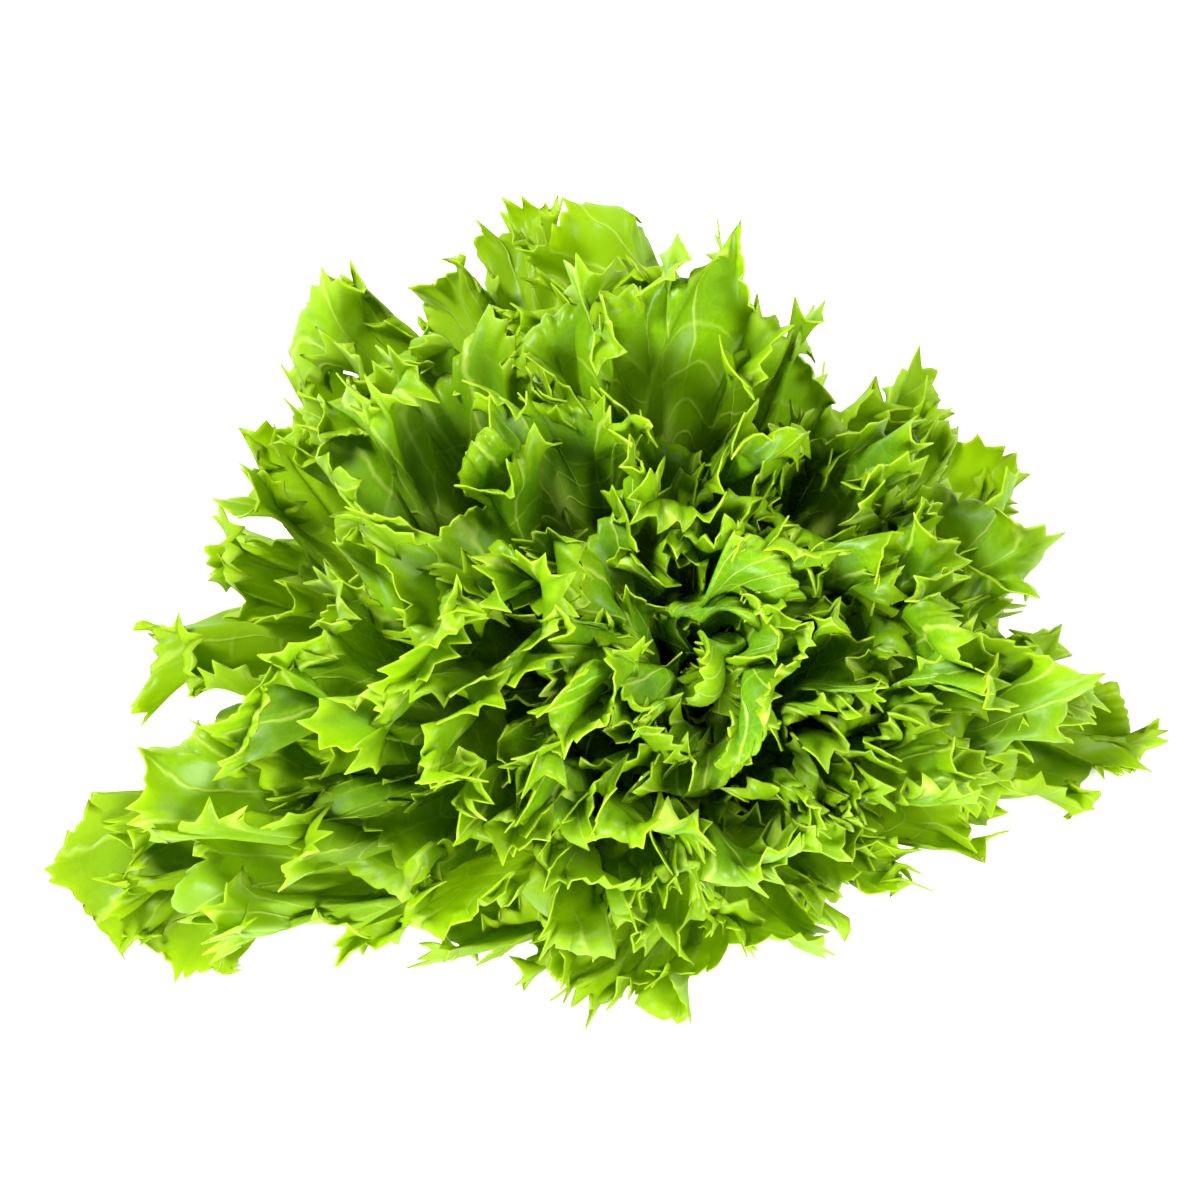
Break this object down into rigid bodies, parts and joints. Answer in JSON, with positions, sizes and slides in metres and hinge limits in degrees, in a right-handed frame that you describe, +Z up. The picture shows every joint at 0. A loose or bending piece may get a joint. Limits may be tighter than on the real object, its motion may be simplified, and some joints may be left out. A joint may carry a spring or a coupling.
{
  "type": "green leaf lettuce",
  "caption": "Whole head of green leaf lettuce: tightly frilled leaves nested round a short cut stem, standing crown up on its cut end and its lowest leaves.",
  "frame": {"origin": "on the table, under the middle of the head's bounding box", "axes": "+Z up through the crown, +X to the right as the picture shows the head, its longest extent; the stem stands at about 26 mm along +X and 29 mm along -Y"},
  "size_m": [0.3273, 0.2549, 0.151],
  "materials": {
    "outer_green": "fresh leaf",
    "middle_green": "fresh leaf",
    "heart_green": "fresh leaf",
    "stem_pale": "moist cut stem"
  },
  "bodies": {
    "root": {"heart_leaf_01": "heart_green", "heart_leaf_02": "heart_green", "heart_leaf_03": "heart_green", "heart_leaf_04": "heart_green", "heart_leaf_05": "heart_green", "heart_leaf_06": "heart_green", "heart_leaf_07": "heart_green", "heart_leaf_08": "heart_green", "heart_leaf_09": "heart_green", "heart_leaf_10": "heart_green", "heart_leaf_11": "heart_green", "middle_leaf_12": "middle_green", "middle_leaf_13": "middle_green", "middle_leaf_14": "middle_green", "middle_leaf_15": "middle_green", "middle_leaf_16": "middle_green", "middle_leaf_17": "middle_green", "middle_leaf_18": "middle_green", "middle_leaf_19": "middle_green", "middle_leaf_20": "middle_green", "middle_leaf_21": "middle_green", "middle_leaf_22": "middle_green", "middle_leaf_23": "middle_green", "middle_leaf_24": "middle_green", "middle_leaf_25": "middle_green", "middle_leaf_26": "middle_green", "middle_leaf_27": "middle_green", "middle_leaf_28": "middle_green", "outer_leaf_36": "outer_green", "outer_leaf_37": "outer_green", "outer_leaf_38": "outer_green", "outer_leaf_39": "outer_green", "outer_leaf_40": "outer_green", "outer_leaf_41": "outer_green", "outer_leaf_42": "outer_green", "outer_leaf_43": "outer_green", "outer_leaf_44": "outer_green", "outer_leaf_45": "outer_green", "outer_leaf_46": "outer_green", "outer_leaf_47": "outer_green", "outer_leaf_48": "outer_green", "outer_leaf_49": "outer_green", "outer_leaf_50": "outer_green", "outer_leaf_51": "outer_green", "outer_leaf_52": "outer_green", "outer_leaf_53": "outer_green", "shoulder_leaf_29": "outer_green", "shoulder_leaf_30": "outer_green", "shoulder_leaf_31": "outer_green", "shoulder_leaf_32": "outer_green", "shoulder_leaf_33": "outer_green", "shoulder_leaf_34": "outer_green", "shoulder_leaf_35": "outer_green", "stem": "stem_pale"}
  },
  "joints": []
}
